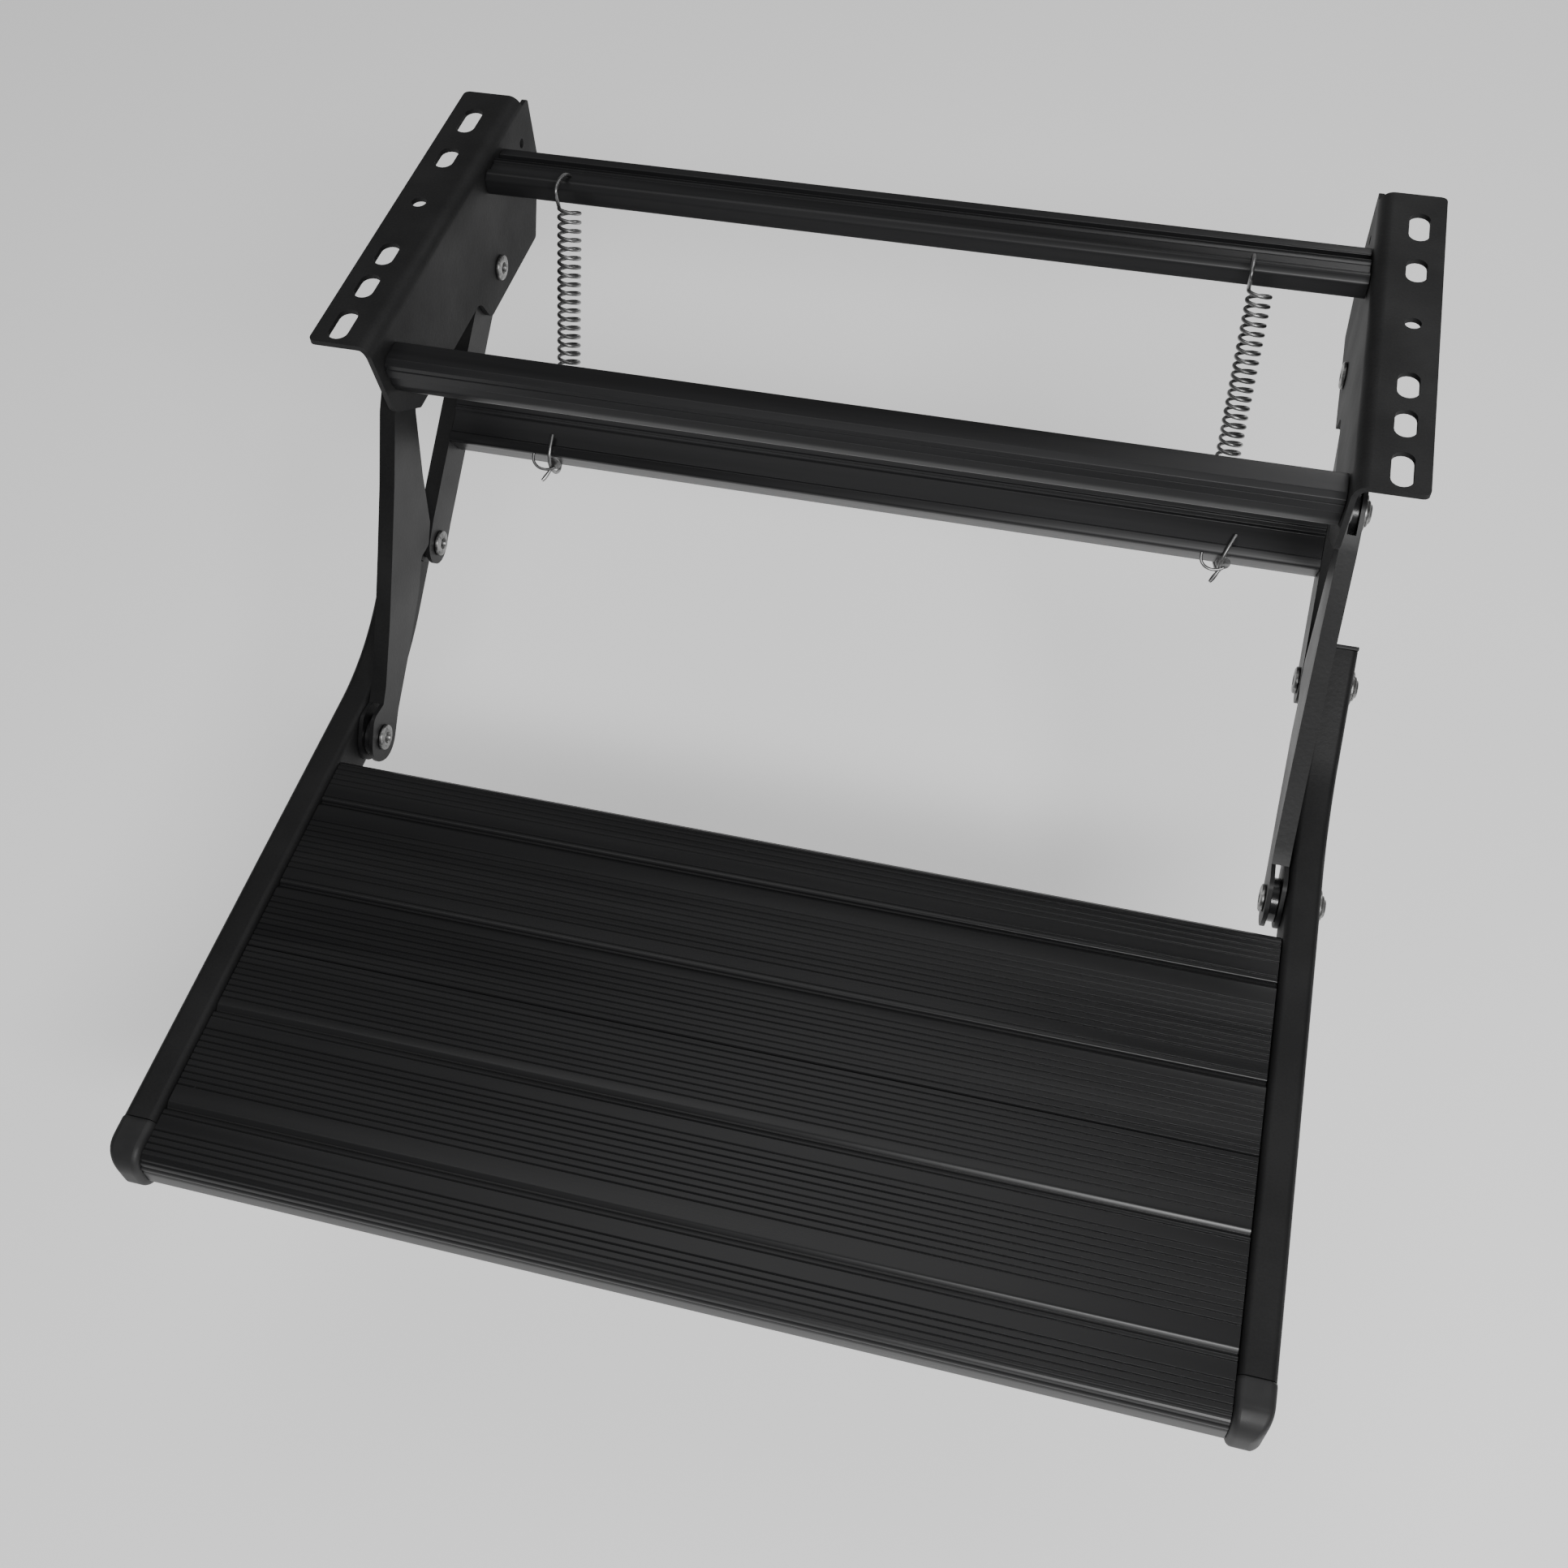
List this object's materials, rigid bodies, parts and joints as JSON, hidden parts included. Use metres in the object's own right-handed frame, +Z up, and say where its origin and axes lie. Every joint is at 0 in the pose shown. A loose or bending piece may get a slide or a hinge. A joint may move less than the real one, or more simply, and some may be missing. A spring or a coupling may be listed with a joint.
{
  "type": "fold-down entry step",
  "caption": "Black fold-down vehicle entry step: slotted hanging brackets, two link pairs, over-centre springs and a ribbed tread between cranked side rails.",
  "frame": {"origin": "in the plane of the bracket flanges' tops, midway between the brackets, level with the flanges' front edges", "axes": "+X across the step to the right, -Y towards the person who climbs it, +Z up; stored deployed"},
  "size_m": [0.6, 0.662, 0.2359],
  "materials": {
    "black_powder_coat": "fine textured black powder coat on 3 mm steel sheet",
    "black_aluminium": "black coated aluminium extrusion, satin",
    "zinc_steel": "zinc-plated steel",
    "black_plastic": "matte moulded black plastic",
    "spring_steel": "drawn spring wire"
  },
  "bodies": {
    "frame": {"bracket_left": "black_powder_coat", "bracket_right": "black_powder_coat", "rear_crossbar": "black_aluminium", "front_crossbar": "black_aluminium", "rear_crossbar_screw_left": "zinc_steel", "rear_crossbar_screw_right": "zinc_steel", "front_crossbar_screw_left": "zinc_steel", "front_crossbar_screw_right": "zinc_steel", "front_pivot_pin_left": "zinc_steel", "front_pivot_pin_right": "zinc_steel", "front_pivot_washer_left": "zinc_steel", "front_pivot_washer_right": "zinc_steel", "rear_pivot_pin_left": "zinc_steel", "rear_pivot_pin_right": "zinc_steel"},
    "front_links": {"front_link_left": "black_powder_coat", "front_link_right": "black_powder_coat", "tread_pivot_bush_left": "black_plastic", "tread_pivot_bush_right": "black_plastic", "tread_pivot_pin_left": "zinc_steel", "tread_pivot_pin_right": "zinc_steel", "tread_pivot_washer_left": "zinc_steel", "tread_pivot_washer_right": "zinc_steel"},
    "rear_links": {"link_crossbar": "black_aluminium", "rear_link_left": "black_powder_coat", "rear_link_right": "black_powder_coat", "rear_link_bush_left": "black_plastic", "rear_link_bush_right": "black_plastic", "rear_link_pin_left": "zinc_steel", "rear_link_pin_right": "zinc_steel", "link_crossbar_screw_left": "zinc_steel", "link_crossbar_screw_right": "zinc_steel", "spring_tab_left": "zinc_steel", "spring_tab_right": "zinc_steel"},
    "tread": {"tread_plank_front": "black_aluminium", "tread_plank_rear": "black_aluminium", "rail_left": "black_aluminium", "rail_right": "black_aluminium", "rail_end_plug_left": "black_plastic", "rail_end_plug_right": "black_plastic", "front_cap_left": "black_plastic", "front_cap_right": "black_plastic", "rail_pin_left": "zinc_steel", "rail_pin_right": "zinc_steel", "rail_pin_washer_left": "zinc_steel", "rail_pin_washer_right": "zinc_steel", "rail_pin_spacer_left": "zinc_steel", "rail_pin_spacer_right": "zinc_steel", "tread_pivot_spacer_left": "zinc_steel", "tread_pivot_spacer_right": "zinc_steel", "tread_screw_1_left": "zinc_steel", "tread_screw_1_right": "zinc_steel", "tread_screw_2_left": "zinc_steel", "tread_screw_2_right": "zinc_steel", "tread_screw_3_left": "zinc_steel", "tread_screw_3_right": "zinc_steel", "tread_screw_4_left": "zinc_steel", "tread_screw_4_right": "zinc_steel"},
    "springs": {"spring_left": "spring_steel", "spring_right": "spring_steel"}
  },
  "joints": [
    {"name": "front_link_fold", "type": "hinge", "parent": "frame", "child": "front_links", "pos_m": [0, 0.038, -0.053], "axis": [1, 0, 0], "range_deg": [0, 97]},
    {"name": "rear_link_fold", "type": "hinge", "parent": "frame", "child": "rear_links", "pos_m": [0, 0.1728, -0.0741], "axis": [1, 0, 0], "range_deg": [0, 129]},
    {"name": "tread_fold", "type": "hinge", "parent": "front_links", "child": "tread", "pos_m": [0, -0.1018, -0.2191], "axis": [1, 0, 0], "range_deg": [-101, 0]},
    {"name": "spring_swing", "type": "hinge", "parent": "frame", "child": "springs", "pos_m": [0, 0.198, -0.016], "axis": [1, 0, 0], "range_deg": [0, 90.1], "deforming": ["spring_left", "spring_right"]}
  ],
  "couplings": [
    {"joint": "rear_link_fold", "follows": "front_link_fold", "ratio": 1.3294},
    {"joint": "tread_fold", "follows": "front_link_fold", "ratio": -1.0405},
    {"joint": "spring_swing", "follows": "front_link_fold", "ratio": 0.928}
  ]
}
